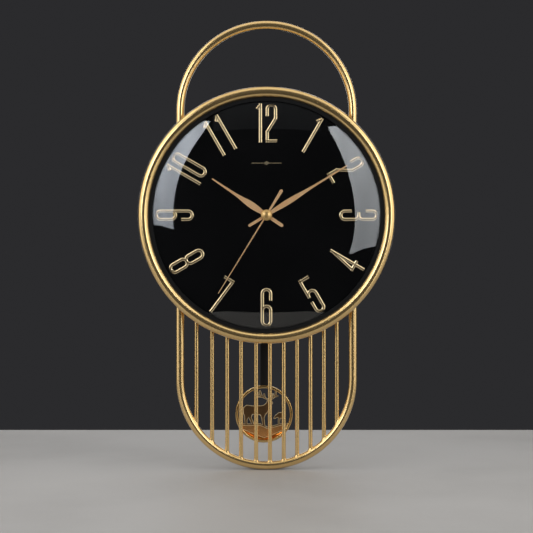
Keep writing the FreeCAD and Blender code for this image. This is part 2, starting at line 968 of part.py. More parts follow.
minute_wheel_phase = meshed_phase(
    motion_direction, cannon_pinion_teeth, motion_direction, minute_wheel_teeth
)


def minute_wheel():
    """Wheel and pinion between minute and hour hand, on a stud of the front case."""
    body = fused([
        wheel_at(minute_spot, motion_distance, minute_wheel_teeth, cannon_pinion_teeth,
                 minute_wheel_phase, minute_wheel_depth),
        pinion_at(minute_spot, motion_distance, minute_pinion_teeth, hour_wheel_teeth,
                  motion_direction + 180, hour_wheel_depth + fit_clearance + wheel_thickness / 2),
    ])
    bore = arbor(minute_spot, arbor_radius + running_clearance, movement_front, movement_split)
    return body.cut(bore)


def hour_wheel():
    """Wheel on the tube that carries the hour hand."""
    toward = motion_direction + 180
    phase = meshed_phase(toward, minute_pinion_teeth, toward, hour_wheel_teeth)
    body = fused([
        wheel_at((0, 0), motion_distance, hour_wheel_teeth, minute_pinion_teeth, phase, hour_wheel_depth),
        dial_disc(hour_tube_radius, hour_hand_front, hour_wheel_depth),
    ])
    bore = dial_disc(minute_tube_radius + running_clearance, hour_hand_front,
                     hour_wheel_depth + wheel_thickness)
    return body.cut(bore)


def set_knob():
    """Fluted setting knob at the back, whose pinion turns the minute wheel."""
    phase = meshed_phase(minute_wheel_phase, minute_wheel_teeth, motion_direction, knob_pinion_teeth)
    knob_back = movement_back + knob_length + running_clearance
    x = knob_spot[0]
    z = dial_height + knob_spot[1]
    flutes = []
    for i in range(knob_flutes):
        angle = math.radians(360 * i / knob_flutes)
        flutes.append(pin(
            knob_flute_radius, x + knob_radius * math.cos(angle), z + knob_radius * math.sin(angle),
            movement_back, knob_back,
        ))
    head = arbor(knob_spot, knob_radius, movement_back + running_clearance, knob_back).cut(flutes)
    radius = knob_distance * knob_pinion_teeth / (knob_pinion_teeth + minute_wheel_teeth)
    return fused([
        head,
        toothed(knob_spot, radius, knob_pinion_teeth, phase, minute_wheel_depth - wheel_thickness / 2,
                minute_wheel_depth + 1.5 * wheel_thickness),
        arbor(knob_spot, knob_shaft_radius, minute_wheel_depth + 1.5 * wheel_thickness,
              movement_back + running_clearance),
    ])


# Movement
battery_top = movement_top - battery_drop + battery_length
half_width = movement_width / 2
motor_floor = dial_height - motor_room_drop
coil_room_right = -half_width + movement_wall + coil_room_width
battery_room = battery_radius + battery_clearance


def movement_body(front, back):
    return rounded_block(
        -half_width, half_width, front, back, movement_bottom, movement_top, movement_corner
    )


def movement_front_case():
    """Front shell with the threaded stem and the front bearings of the train."""
    inner = movement_front + movement_wall
    shell = movement_body(movement_front, movement_split)
    rooms = [
        block(-half_width + movement_wall, half_width - movement_wall, inner, movement_split,
              motor_floor, movement_top - movement_wall),
        block(-half_width + movement_wall, half_width - movement_wall, inner, movement_split,
              movement_bottom + movement_wall, motor_floor - movement_wall),
    ]
    shell = shell.cut(rooms)
    stem = dial_disc(stem_radius, stem_front, movement_front)
    third_boss = arbor(third_spot, boss_radius, inner, hour_wheel_depth + 2 * wheel_thickness)
    rotor_boss = arbor(rotor_spot, boss_radius, inner, second_wheel_depth + 1.5 * wheel_thickness)
    stud = arbor(minute_spot, arbor_radius, inner, minute_wheel_depth + pinion_length)
    bores = [
        dial_disc(hour_tube_radius + running_clearance, stem_front, inner),
        arbor(third_spot, arbor_radius + running_clearance, inner, hour_wheel_depth + 2 * wheel_thickness),
        arbor(rotor_spot, arbor_radius + running_clearance,
              second_wheel_depth + wheel_thickness - running_clearance, second_wheel_depth + pinion_length),
    ]
    return fused([shell, stem, third_boss, rotor_boss, stud]).cut(bores)


def movement_rear_case():
    """Rear shell with the battery bay, the room for the swing arm and the rear bearings."""
    inner = movement_back - movement_wall
    shell = movement_body(movement_split, movement_back)
    low = movement_bottom + movement_wall
    swing_room = pendulum_sweep(pivot_height - movement_bottom) - rod_width / 2 + arm_width / 2
    bay_bottom = battery_top - battery_length - 2 * contact_spring_height
    bay_top = battery_top + battery_nub_length + 2 * contact_thickness
    bay_middle = movement_back - battery_radius - movement_wall
    bay_start = V(battery_place, bay_middle, bay_bottom)
    trough = Part.makeCylinder(battery_room, bay_top - bay_bottom, bay_start, UP)
    rooms = [
        block(-half_width + movement_wall, half_width - movement_wall, movement_split, inner,
              motor_floor, movement_top - movement_wall),
        block(-half_width + movement_wall, coil_room_right, movement_split, inner,
              low, motor_floor - movement_wall),
        block(pendulum_offset - swing_room, pendulum_offset + swing_room, arm_front - arm_slot_clearance,
              rod_front + peg_length + arm_slot_clearance, movement_bottom,
              pivot_height + arm_width / 2 + arm_slot_clearance),
        trough,
        block(battery_place - battery_room, battery_place + battery_room, bay_middle, movement_back,
              bay_bottom, bay_top),
    ]
    shell = shell.cut(rooms)
    pivot = pin(pivot_pin_radius, pendulum_offset, pivot_height, arm_front - arm_slot_clearance,
                rod_front + peg_length + arm_slot_clearance)
    third_boss = arbor(third_spot, boss_radius, second_wheel_depth + 1.5 * wheel_thickness, inner)
    second_boss = arbor((0, 0), 2 * second_arbor_radius, second_wheel_depth + 1.5 * wheel_thickness, inner)
    rotor_boss = arbor(rotor_spot, boss_radius, inner - movement_wall, inner)
    stud = arbor(transmission_spot, arbor_radius, second_wheel_depth - wheel_thickness / 2, inner)
    bores = [
        arbor(third_spot, arbor_radius + running_clearance, second_wheel_depth, transmission_wheel_depth
              + running_clearance),
        arbor((0, 0), second_arbor_radius + running_clearance, second_wheel_depth,
              second_wheel_depth + 2 * pinion_length + running_clearance),
        arbor(rotor_spot, arbor_radius + running_clearance, inner - movement_wall,
              movement_back - 2 * movement_wall + running_clearance),
        arbor(knob_spot, knob_shaft_radius + running_clearance, movement_split, movement_back),
    ]
    return fused([shell, pivot, third_boss, second_boss, rotor_boss, stud]).cut(bores)


def drive_coils():
    """Motor coil on its stator plate, and the coil beside the pendulum's magnet."""
    height = dial_height + coil_rise
    depth = rotor_magnet_front + rotor_magnet_length / 2
    left = rotor_spot[0] - coil_length / 2
    core = Part.makeCylinder(coil_radius, coil_length, V(left, depth, height), ACROSS)
    front = depth - stator_thickness / 2
    plate = block(
        left, left + coil_length, front, front + stator_thickness,
        dial_height + rotor_spot[1] - stator_width, height,
    )
    hole = arbor(rotor_spot, rotor_magnet_radius + stator_gap, front, front + stator_thickness)
    winding = pin(
        drive_coil_radius, -half_width + movement_wall + coil_room_width / 2,
        (motor_floor + movement_bottom) / 2, movement_split, movement_back - movement_wall,
    )
    return Part.Compound([fused([core, plate.cut(hole)]), winding])


def mounting_nut():
    """Hexagon nut on the stem, behind the hour hand."""
    corner = mounting_nut_flats / 2 / math.cos(math.radians(30))
    corners = []
    for i in range(6):
        angle = math.radians(60 * i)
        corners.append((corner * math.cos(angle), dial_height + corner * math.sin(angle)))
    nut = cut_out(corners, nut_front, nut_front + mounting_nut_thickness)
    return nut.cut(dial_disc(stem_radius + fit_clearance, nut_front, dial_front))


def washer(radius, front, thickness):
    ring = dial_disc(radius, front, front + thickness)
    return ring.cut(dial_disc(stem_radius + fit_clearance, front, front + thickness))


def battery_cell():
    middle = movement_back - battery_radius - movement_wall
    low = battery_top - battery_length
    can = Part.makeCylinder(battery_radius, battery_length, V(battery_place, middle, low), UP)
    crown = V(battery_place, middle, battery_top)
    nub = Part.makeCylinder(battery_nub_radius, battery_nub_length, crown, UP)
    return fused([can, nub])


def battery_contacts():
    """Flat contact above the cell and bowed spring contact below it."""
    middle = movement_back - battery_radius - movement_wall
    top = battery_top + battery_nub_length
    half = contact_width / 2
    flat = block(battery_place - half, battery_place + half, middle - half, middle + half,
                 top, top + 2 * contact_thickness)
    low = battery_top - battery_length - 2 * contact_spring_height
    seat = V(battery_place, middle, low)
    spring = Part.makeCone(half, battery_nub_radius, 2 * contact_spring_height, seat, UP)
    hollow = Part.makeCone(half - contact_thickness, battery_nub_radius - contact_thickness,
                           2 * contact_spring_height, seat, UP)
    return Part.Compound([flat, spring.cut(hollow)])


# Pendulum
rod_top = pivot_height - arm_length + rod_lap


def swing_arm():
    """Hanger on the movement's pin, with a peg for the rod."""
    z = pivot_height
    x = pendulum_offset
    back = arm_front + arm_thickness
    low = z - arm_length
    arm = fused([
        pin(arm_width / 2, x, z, arm_front, back),
        block(x - arm_width / 2, x + arm_width / 2, arm_front, back, low, z),
        pin(peg_radius, x, low + rod_lap / 2, back, back + peg_length),
    ])
    return arm.cut(pin(pivot_pin_radius + running_clearance, x, z, arm_front, back))


def pendulum_rod():
    """Flat black rod, hung on the peg and let down onto the ring of the bob."""
    x = pendulum_offset
    rod = block(x - rod_width / 2, x + rod_width / 2, rod_front, rod_front + rod_thickness,
                bob_height, rod_top)
    eye = pin(peg_radius + fit_clearance, x, pivot_height - arm_length + rod_lap / 2,
              rod_front, rod_front + rod_thickness)
    disc = pin(bob_radius, x, bob_height, rod_front, rod_front + rod_thickness)
    return rod.cut([eye, disc])


def bob_ring():
    x = pendulum_offset
    front = bob_middle - bob_ring_depth / 2
    outer = pin(bob_radius, x, bob_height, front, front + bob_ring_depth)
    return outer.cut(pin(bob_radius - bob_ring_width, x, bob_height, front, front + bob_ring_depth))


# Outlines in shares of the ring's inner radius, from its middle
deer_shares = (
    (-0.8, 0.02), (-0.8, 0.24), (-0.68, 0.34), (-0.35, 0.3), (-0.02, 0.33), (0.09, 0.42),
    (0.14, 0.54), (0.22, 0.58), (0.28, 0.54), (0.34, 0.42), (0.3, 0.37), (0.24, 0.4),
    (0.22, 0.24), (0.12, 0.06), (0.04, -0.04), (0.0, -0.16), (0.03, -0.46), (-0.05, -0.44),
    (-0.09, -0.16), (-0.14, -0.03), (-0.45, -0.01), (-0.5, -0.14), (-0.44, -0.26), (-0.4, -0.41),
    (-0.47, -0.41), (-0.53, -0.26), (-0.6, -0.12), (-0.66, -0.24), (-0.66, -0.41), (-0.73, -0.41),
    (-0.75, -0.2), (-0.76, -0.05),
)
antler_shares = (
    (0.18, 0.54, 0.02, 0.62), (0.04, 0.61, -0.12, 0.72), (-0.11, 0.71, -0.16, 0.9),
    (0.02, 0.61, -0.0, 0.78), (-0.05, 0.67, -0.22, 0.68), (-0.12, 0.76, -0.24, 0.8),
    (0.24, 0.55, 0.36, 0.63), (0.35, 0.62, 0.45, 0.73), (0.44, 0.72, 0.46, 0.88),
    (0.36, 0.62, 0.34, 0.78), (0.4, 0.68, 0.54, 0.7),
)
antler_width_share = 0.045
fawn_shares = (
    (0.37, -0.17), (0.42, -0.08), (0.49, -0.02), (0.57, 0.05), (0.72, 0.05), (0.8, -0.02),
    (0.82, -0.14), (0.8, -0.4), (0.745, -0.4), (0.73, -0.18), (0.62, -0.16), (0.6, -0.42),
    (0.545, -0.42), (0.55, -0.14), (0.5, -0.12), (0.43, -0.18),
)
hill_shares = (
    (-0.93, -0.37), (-0.6, -0.385), (-0.15, -0.38), (0.0, -0.44), (0.14, -0.51),
    (0.35, -0.46), (0.6, -0.385), (0.93, -0.36),
)
ground_share = 0.06
facet_end_share = 0.78
facet_end_drop_share = 0.6
facet_point_share = 0.92
facet_slope_share = 0.6


def bob_outline(shares, front, back):
    inner = bob_radius - bob_ring_width
    points = [(pendulum_offset + x * inner, bob_height + z * inner) for x, z in shares]
    return cut_out(points, front, back)


def bob_base():
    """Copper-coloured lower segment with two bevelled facets that meet in a point."""
    inner = bob_radius - bob_ring_width
    front = bob_middle - base_thickness / 2
    disc = pin(inner, pendulum_offset, bob_height, front, front + base_thickness)
    ground = tuple((x, z - ground_share) for x, z in hill_shares)
    upper = bob_outline(ground + ((1, 1), (-1, 1)), front, front + base_thickness)
    sides = [bob_outline(((s, -1), (s, 1), (s * hill_shares[-1][0], 1), (s * hill_shares[-1][0], -1)),
                         front, front + base_thickness) for s in (-1, 1)]
    body = disc.cut([upper] + sides)
    point = V(pendulum_offset, front, bob_height - facet_point_share * inner)
    facets = []
    for side in (-1, 1):
        end = V(pendulum_offset + side * facet_end_share * inner, front,
                bob_height - facet_end_drop_share * inner)
        run = end.sub(point)
        outward = V(run.z, 0, -run.x) * (side * inner / run.Length)
        corner = point.sub(run)
        slope = BACK * (facet_slope_share * inner)
        wedge = Part.makePolygon([corner, corner + outward, corner + outward + slope, corner])
        facets.append(Part.Face(wedge).extrude(run * 3))
    return body.cut(facets)


def bob_figures():
    """Standing deer and its fawn, cut from one sheet with the ground that joins them."""
    front = bob_middle - figure_thickness / 2
    back = front + figure_thickness
    inner = bob_radius - bob_ring_width
    lower = tuple((x, z - ground_share) for x, z in reversed(hill_shares))
    outlines = [deer_shares, fawn_shares, hill_shares + lower]
    half = antler_width_share / 2
    for x0, z0, x1, z1 in antler_shares:
        long = math.hypot(x1 - x0, z1 - z0)
        dx = half * (z0 - z1) / long
        dz = half * (x1 - x0) / long
        outlines.append(((x0 + dx, z0 + dz), (x1 + dx, z1 + dz), (x1 - dx, z1 - dz), (x0 - dx, z0 - dz)))
    sheet = fused([bob_outline(outline, front, back) for outline in outlines])
    return sheet.common(pin(inner, pendulum_offset, bob_height, front, back))


# Foot
def rear_foot():
    """Flat bar bent to a horseshoe, coped to the lowest point of the hoop."""
    inner = foot_bend_radius - foot_bar_width / 2
    outer = foot_bend_radius + foot_bar_width / 2
    middle = foot_front + outer
    reach = 2 * foot_reach
    splay = math.radians(foot_splay_deg)

    def tangent(radius, side):
        return V(side * radius * math.cos(splay), middle - radius * math.sin(splay), 0)

    def far_end(radius, side):
        return tangent(radius, side) + V(side * math.sin(splay), math.cos(splay), 0) * reach

    outline = path(
        far_end(outer, -1),
        (tangent(outer, -1),),
        (V(0, middle - outer, 0), tangent(outer, 1)),
        (far_end(outer, 1),),
        (far_end(inner, 1),),
        (tangent(inner, 1),),
        (V(0, middle - inner, 0), tangent(inner, -1)),
        (far_end(inner, -1),),
        (far_end(outer, -1),),
    )
    bar = Part.Face(outline).extrude(UP * foot_thickness)
    keep = block(-foot_reach, foot_reach, 0, foot_reach, 0, foot_thickness)
    return bar.common(keep).cut(lower_hoop)


# Write one file per piece
upper_hoop = hoop_bend(upper_arc_height, 1, dial_height + leg_end)
lower_hoop = hoop_bend(lower_arc_height, -1, dial_height - leg_end)

nodes = {
    "upper_hoop": upper_hoop,
    "lower_hoop": lower_hoop,
    "case_band": case_band(),
    "rear_cover": rear_cover(),
    "rear_screws": rear_screws(),
    "socket_screws": socket_screws(),
    "rear_foot": rear_foot(),
    "bezel_ring": bezel_ring(),
    "glass_gasket": glass_gasket(),
    "glass_dome": glass_dome(),
    "dial_plate": dial_plate(),
    "dial_ornament": dial_ornament(),
    "hour_hand": leaf_hand(hour_hand_length, hour_hand_tail, hour_hand_width, hour_hand_front,
                           hour_tube_radius, hour_hand_angle),
    "minute_hand": leaf_hand(minute_hand_length, minute_hand_tail, minute_hand_width, minute_hand_front,
                             minute_tube_radius, minute_hand_angle),
    "second_hand": second_hand(),
    "hub_cap": hub_cap(),
    "movement_front_case": movement_front_case(),
    "movement_rear_case": movement_rear_case(),
    "drive_coils": drive_coils(),
    "rotor": rotor(),
    "transmission_wheel": transmission_wheel(),
    "second_wheel": second_wheel(),
    "third_wheel": third_wheel(),
    "centre_wheel": centre_wheel(),
    "minute_wheel": minute_wheel(),
    "hour_wheel": hour_wheel(),
    "set_knob": set_knob(),
    "rubber_washer": washer(rubber_washer_radius, dial_back, rubber_washer_thickness),
    "mounting_washer": washer(washer_radius, dial_front - mounting_washer_thickness,
                              mounting_washer_thickness),
    "mounting_nut": mounting_nut(),
    "battery_cell": battery_cell(),
    "battery_contacts": battery_contacts(),
    "swing_arm": swing_arm(),
    "pendulum_rod": pendulum_rod(),
    "bob_ring": bob_ring(),
    "bob_figures": bob_figures(),
    "bob_base": bob_base(),
}
for i, share in enumerate(bar_place_shares):
    nodes[f"grille_bar_{i + 1:02d}"] = grille_bar(share * hoop_radius)
for hour in range(1, 13):
    nodes[f"numeral_{hour:02d}"] = numeral(hour)

os.makedirs("parts", exist_ok=True)
for name, shape in nodes.items():
    shape.translate(V(0, -middle_depth, 0))
    solids = len(shape.Solids)
    print(f"{name}: {solids} solid, volume {shape.Volume:.0f}, valid {shape.isValid()}")
    shape.exportStep(os.path.join("parts", name + ".step"))
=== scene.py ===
import json
import math

import bmesh
import bpy
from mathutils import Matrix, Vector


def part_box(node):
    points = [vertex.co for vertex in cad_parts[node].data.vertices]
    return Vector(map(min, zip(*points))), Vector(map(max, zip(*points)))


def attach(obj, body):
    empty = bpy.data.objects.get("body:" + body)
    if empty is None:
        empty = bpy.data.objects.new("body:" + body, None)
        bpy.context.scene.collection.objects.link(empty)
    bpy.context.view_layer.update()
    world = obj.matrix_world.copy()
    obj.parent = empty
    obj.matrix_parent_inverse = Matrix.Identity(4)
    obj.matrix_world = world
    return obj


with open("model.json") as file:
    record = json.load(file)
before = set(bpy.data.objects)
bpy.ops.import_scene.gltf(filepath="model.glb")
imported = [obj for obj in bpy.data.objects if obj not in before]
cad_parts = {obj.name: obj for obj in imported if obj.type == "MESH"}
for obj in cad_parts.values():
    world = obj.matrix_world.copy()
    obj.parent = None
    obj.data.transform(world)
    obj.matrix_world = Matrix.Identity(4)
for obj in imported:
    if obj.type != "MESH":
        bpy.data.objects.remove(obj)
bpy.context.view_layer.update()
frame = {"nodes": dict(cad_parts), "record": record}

nodes = frame["nodes"]
MM = 0.001

# Places read from the frame
drum_low, drum_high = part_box("case_band")
hoop_low, hoop_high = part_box("lower_hoop")
arch_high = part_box("upper_hoop")[1]
cell_low, cell_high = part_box("battery_cell")
dial_height = (drum_low.z + drum_high.z) / 2
hoop_plane = (hoop_low.y + hoop_high.y) / 2
hoop_bar_radius = (hoop_high.y - hoop_low.y) / 2
hoop_radius = hoop_high.x - hoop_bar_radius
lower_bend_height = hoop_low.z + hoop_bar_radius + hoop_radius
upper_bend_height = arch_high.z - hoop_bar_radius - hoop_radius

# Colours of the metals and paints
GOLD = (0.89, 0.62, 0.26, 1)
GOLD_DEEP = (0.74, 0.46, 0.16, 1)
# Numerals: a lighter edge colour and a darker face colour, painted highlight and painted shade
NUMERAL_GOLD = (0.98, 0.78, 0.50, 1)
NUMERAL_PAINTED_SHADE = (0.50, 0.32, 0.15, 1)
# Bob figures: a lighter edge colour and a darker face colour, painted highlight and painted shade
FIGURE_GOLD = (0.95, 0.74, 0.36, 1)
FIGURE_PAINTED_SHADE = (0.26, 0.15, 0.07, 1)
# Painted highlight: the brighter gold of the beads along the figures' outlines
EDGE_HIGHLIGHT_GOLD = (1.00, 0.82, 0.48, 1)
CAP_GOLD = (0.95, 0.58, 0.21, 1)
ROSE_GOLD = (1.00, 0.62, 0.33, 1)
ROSE_DEEP = (0.96, 0.53, 0.25, 1)
COPPER = (0.86, 0.41, 0.14, 1)
COPPER_DEEP = (0.62, 0.26, 0.07, 1)
BRASS = (0.76, 0.56, 0.24, 1)
BRASS_DEEP = (0.55, 0.38, 0.14, 1)
STEEL = (0.62, 0.62, 0.63, 1)
STEEL_DEEP = (0.40, 0.40, 0.42, 1)
BLACK = (0.016, 0.016, 0.017, 1)
BLACK_WORN = (0.045, 0.044, 0.042, 1)
COVER_BLACK = (0.026, 0.026, 0.028, 1)
RUBBER_BLACK = (0.004, 0.004, 0.004, 1)
RUBBER_DUSTY = (0.018, 0.018, 0.018, 1)
DIAL_BLACK = (0.0010, 0.0010, 0.0011, 1)
DIAL_SHEEN = (0.0025, 0.0025, 0.0028, 1)
ACETAL = (0.78, 0.77, 0.72, 1)
ACETAL_AGED = (0.70, 0.67, 0.58, 1)
CELL_BLUE = (0.03, 0.10, 0.24, 1)
GLASS_GLEAM = (1, 1, 1, 1)
GLASS_TINT = (0.975, 0.985, 0.98, 1)
FLOOR_PALE = (0.46, 0.45, 0.44, 1)
FLOOR_VEIN = (0.38, 0.37, 0.36, 1)

# Colours of the studio
COOL_WHITE = (0.86, 0.91, 1.0, 1)
CLEAR_WHITE = (0.93, 0.96, 1.0, 1)
WARM_WHITE = (1.0, 0.96, 0.90, 1)
UNLIT = (0, 0, 0, 1)
ROOM_GREY = (0.024, 0.024, 0.026, 1)

# Sockets of the node that mixes colours, which have only their numbers to tell them apart
mix_share, mix_first, mix_second, mix_colour = 0, 6, 7, 2


class Signal:
    """An output of a shader node that can stand in sums, products and powers."""

    def __init__(self, finish, socket):
        self.finish = finish
        self.socket = socket

    def _math(self, operation, first, second):
        return self.finish.node("Math", {"operation": operation}, {0: first, 1: second})

    def __add__(self, other):
        return self._math("ADD", self, other)

    __radd__ = __add__

    def __sub__(self, other):
        return self._math("SUBTRACT", self, other)

    def __rsub__(self, other):
        return self._math("SUBTRACT", other, self)

    def __mul__(self, other):
        return self._math("MULTIPLY", self, other)

    __rmul__ = __mul__

    def __pow__(self, other):
        return self._math("POWER", self, other)


class Finish:
    """One material, its nodes written as expressions."""

    def __init__(self, name):
        self.material = bpy.data.materials.new(name)
        self.material.use_nodes = True
        self.tree = self.material.node_tree
        self.tree.nodes.clear()

    def node(self, kind, settings, sockets, out=0):
        """Makes a node, first its settings, then the values or links of its sockets."""
        made = self.tree.nodes.new("ShaderNode" + kind)
        for key, value in settings.items():
            setattr(made, key, value)
        for key, value in sockets.items():
            if isinstance(value, Signal):
                self.tree.links.new(value.socket, made.inputs[key])
            else:
                made.inputs[key].default_value = value
        return Signal(self, made.outputs[out]) if made.outputs else None

    def place(self):
        return self.node("TexCoord", {}, {}, "Object")

    def direction(self):
        return self.node("TexCoord", {}, {}, "Normal")

    def along(self, vector, axis):
        """The number of a vector along one axis."""
        return self.node("SeparateXYZ", {}, {"Vector": vector}, axis)

    def parts(self, vector):
        return [self.along(vector, axis) for axis in "XYZ"]

    def joined(self, x, y, z):
        return self.node("CombineXYZ", {}, {"X": x, "Y": y, "Z": z})

    def larger(self, first, second):
        return self.node("Math", {"operation": "MAXIMUM"}, {0: first, 1: second})

    def noise(self, at, scale, detail):
        return self.node("TexNoise", {}, {"Vector": at, "Scale": scale, "Detail": detail})

    def ramp(self, value, low, high):
        """0 below low, 1 above high and a smooth slope between."""
        return self.node("MapRange", {"interpolation_type": "SMOOTHSTEP"},
                         {"Value": value, "From Min": low, "From Max": high})

    def blend(self, share, first, second):
        """A colour between two colours."""
        return self.node("Mix", {"data_type": "RGBA"},
                         {mix_share: share, mix_first: first, mix_second: second}, mix_colour)

    def bump(self, height, strength, depth):
        return self.node("Bump", {}, {"Height": height, "Strength": strength, "Distance": depth})

    def surface(self, **sockets):
        """The main shader, from socket names written with an underscore for a space."""
        named = {key.replace("_", " "): value for key, value in sockets.items()}
        return self.node("BsdfPrincipled", {}, named)

    def done(self, shader):
        self.node("OutputMaterial", {}, {"Surface": shader})
        return self.material


def around(middle, swing, pattern):
    """A value that swings about its middle with a pattern, whose own middle is a half."""
    return middle + swing * (pattern - 0.5)


# Working lines of drawn, turned and brushed metal: how many lie in a metre, across and along them
fine_line = 900
long_line = 14


def line_pattern(paint, x, y, z):
    return paint.noise(paint.joined(x, y, z), scale=1, detail=3)


def lines_round_bend(height, side):
    """Lines along a straight bar that bends past a height, above it for side 1 and below it for -1."""
    def lines(paint):
        x, y, z = paint.parts(paint.place())
        rise = paint.larger(side * (z - height), 0)
        radius = (x * x + rise * rise) ** 0.5
        return line_pattern(paint, radius * fine_line, y * fine_line, (x + z) * long_line)
    return lines


def lines_along_bar(paint):
    x, y, z = paint.parts(paint.place())
    return line_pattern(paint, x * fine_line, y * fine_line, z * long_line)


def lines_round_dial(paint):
    x, y, z = paint.parts(paint.place())
    rise = z - dial_height
    radius = (x * x + rise * rise) ** 0.5
    return line_pattern(paint, radius * fine_line, y * fine_line, (x + rise) * long_line)


def lines_across(paint):
    x, y, z = paint.parts(paint.place())
    return line_pattern(paint, x * long_line, y * fine_line, z * fine_line)


# Hand marks on metal: how much of the deeper colour they show and how much duller they are
mark_tone_share = 0.3
mark_dulling = 0.05


def metal(name, lines_of, bright, deep, dullness, line_strength=0.004, lacquered=0.0):
    """Metal with fine working lines and faint hand marks, bare or under a lacquer of its colour."""
    paint = Finish(name)
    lines = lines_of(paint)
    marks = paint.ramp(paint.noise(paint.place(), scale=24, detail=1), low=0.46, high=0.72)
    return paint.done(paint.surface(
        Base_Color=paint.blend(marks * mark_tone_share, bright, deep),
        Metallic=1.0 - lacquered,
        Roughness=around(dullness, swing=0.02, pattern=lines) + mark_dulling * marks,
        Coat_Weight=0.8 if lacquered else 0.0,
        Coat_Roughness=0.10,
        Normal=paint.bump(lines, line_strength, depth=0.2 * MM),
    ))


# Flat faces of the metal with painted shade are also duller than its edges
face_dulling = 0.12


def metal_with_painted_shade(name, lit_edge_colour, face_colour_with_painted_shade):
    """Satin metal with painted shade and highlight: its flat front and back are painted darker, its
    bevelled and rounded edges lighter.
    """
    paint = Finish(name)
    facing = paint.along(paint.direction(), "Y")
    # Painted shade on faces that look to the front or back, painted highlight on the edges
    flat = paint.ramp(facing * facing, low=0.80, high=0.96)
    grit = paint.noise(paint.place(), scale=2600, detail=2)
    return paint.done(paint.surface(
        Base_Color=paint.blend(flat, lit_edge_colour, face_colour_with_painted_shade),
        Metallic=1.0,
        Roughness=around(0.20, swing=0.08, pattern=grit) + face_dulling * flat,
        Normal=paint.bump(grit, strength=0.05, depth=0.05 * MM),
    ))


def hand_metal(name):
    """Rose gold lacquer with a satin grain."""
    paint = Finish(name)
    grit = paint.noise(paint.place(), scale=2200, detail=3)
    cloud = paint.noise(paint.place(), scale=60, detail=2)
    return paint.done(paint.surface(
        Base_Color=paint.blend(paint.ramp(cloud, low=0.35, high=0.70), ROSE_GOLD, ROSE_DEEP),
        Metallic=0.18,
        Roughness=around(0.40, swing=0.14, pattern=grit),
        Normal=paint.bump(grit, strength=0.06, depth=0.05 * MM),
    ))


# Paint that has been handled: how much of the worn colour it shows and how much smoother it is
worn_tone_share = 0.6
worn_polish = 0.06


def lacquer(name, base, worn, dullness, grain_scale, grain_strength):
    """Paint over metal with a fine grain, a little lighter and smoother where it has been handled."""
    paint = Finish(name)
    grain = paint.noise(paint.place(), grain_scale, detail=3)
    handled = paint.ramp(paint.noise(paint.place(), scale=24, detail=4), low=0.5, high=0.8)
    return paint.done(paint.surface(
        Base_Color=paint.blend(handled * worn_tone_share, base, worn),
        Roughness=around(dullness, swing=0.12, pattern=grain) - worn_polish * handled,
        Normal=paint.bump(grain, grain_strength, depth=0.1 * MM),
    ))


def dial_lacquer(name):
    """Deep black lacquer with the faint ripple of a sprayed coat."""
    paint = Finish(name)
    ripple = paint.noise(paint.place(), scale=420, detail=2)
    cloud = paint.noise(paint.place(), scale=12, detail=2)
    return paint.done(paint.surface(
        Base_Color=paint.blend(paint.ramp(cloud, low=0.40, high=0.75), DIAL_BLACK, DIAL_SHEEN),
        Roughness=around(0.16, swing=0.06, pattern=cloud),
        Specular_IOR_Level=0.2,
        Normal=paint.bump(ripple, strength=0.015, depth=0.05 * MM),
    ))


# Clear glass: what it mirrors seen straight on, how fast that grows towards its edge, and its film
straight_mirror = 0.042
edge_power = 5
glass_dullness = 0.012
film_dulling = 0.02


def clear_glass(name):
    """Clear glass: what lies behind shows, and the surface mirrors more where it is seen edge on."""
    paint = Finish(name)
    edge_on = paint.node("LayerWeight", {}, {"Blend": 0.5}, "Facing")
    mirror = straight_mirror + (1 - straight_mirror) * edge_on ** edge_power
    film = paint.ramp(paint.noise(paint.place(), scale=9, detail=3), low=0.45, high=0.80)
    rough = glass_dullness + film_dulling * film
    gloss = paint.surface(Base_Color=GLASS_GLEAM, Metallic=1.0, Roughness=rough)
    clear = paint.node("BsdfTransparent", {}, {"Color": GLASS_TINT})
    return paint.done(paint.node("MixShader", {}, {0: mirror, 1: clear, 2: gloss}))


# Dust that lies on rubber
dust_tone_share = 0.4


def rubber(name):
    """Black rubber with a fine grain and a little dust."""
    paint = Finish(name)
    grain = paint.noise(paint.place(), scale=1400, detail=3)
    dust = paint.ramp(paint.noise(paint.place(), scale=60, detail=4), low=0.50, high=0.85)
    return paint.done(paint.surface(
        Base_Color=paint.blend(dust * dust_tone_share, RUBBER_BLACK, RUBBER_DUSTY),
        Roughness=around(0.36, swing=0.12, pattern=grain),
        Normal=paint.bump(grain, strength=0.08, depth=0.05 * MM),
    ))


def moulded(name, base, aged, dullness):
    """Moulded plastic with a spark-eroded grain."""
    paint = Finish(name)
    grain = paint.noise(paint.place(), scale=1900, detail=2)
    cloud = paint.noise(paint.place(), scale=40, detail=3)
    return paint.done(paint.surface(
        Base_Color=paint.blend(paint.ramp(cloud, low=0.35, high=0.75), base, aged),
        Roughness=around(dullness, swing=0.14, pattern=grain),
        Normal=paint.bump(grain, strength=0.12, depth=0.06 * MM),
    ))


def copper_winding(name):
    """Enamelled wire laid turn by turn."""
    paint = Finish(name)
    turns = paint.node("TexWave", {"wave_type": "BANDS", "bands_direction": "DIAGONAL"},
                       {"Vector": paint.place(), "Scale": 1100, "Distortion": 0.4}, "Fac")
    cloud = paint.noise(paint.place(), scale=300, detail=2)
    return paint.done(paint.surface(
        Base_Color=paint.blend(cloud, COPPER, COPPER_DEEP),
        Metallic=0.8,
        Roughness=around(0.40, swing=0.2, pattern=turns),
        Normal=paint.bump(turns, strength=0.5, depth=0.1 * MM),
    ))


# Bare metal at the cell's ends, and the width of the wrap's edge to each side
cap_bare = 3.3 * MM
heel_bare = 1.5 * MM
wrap_edge = 0.1 * MM


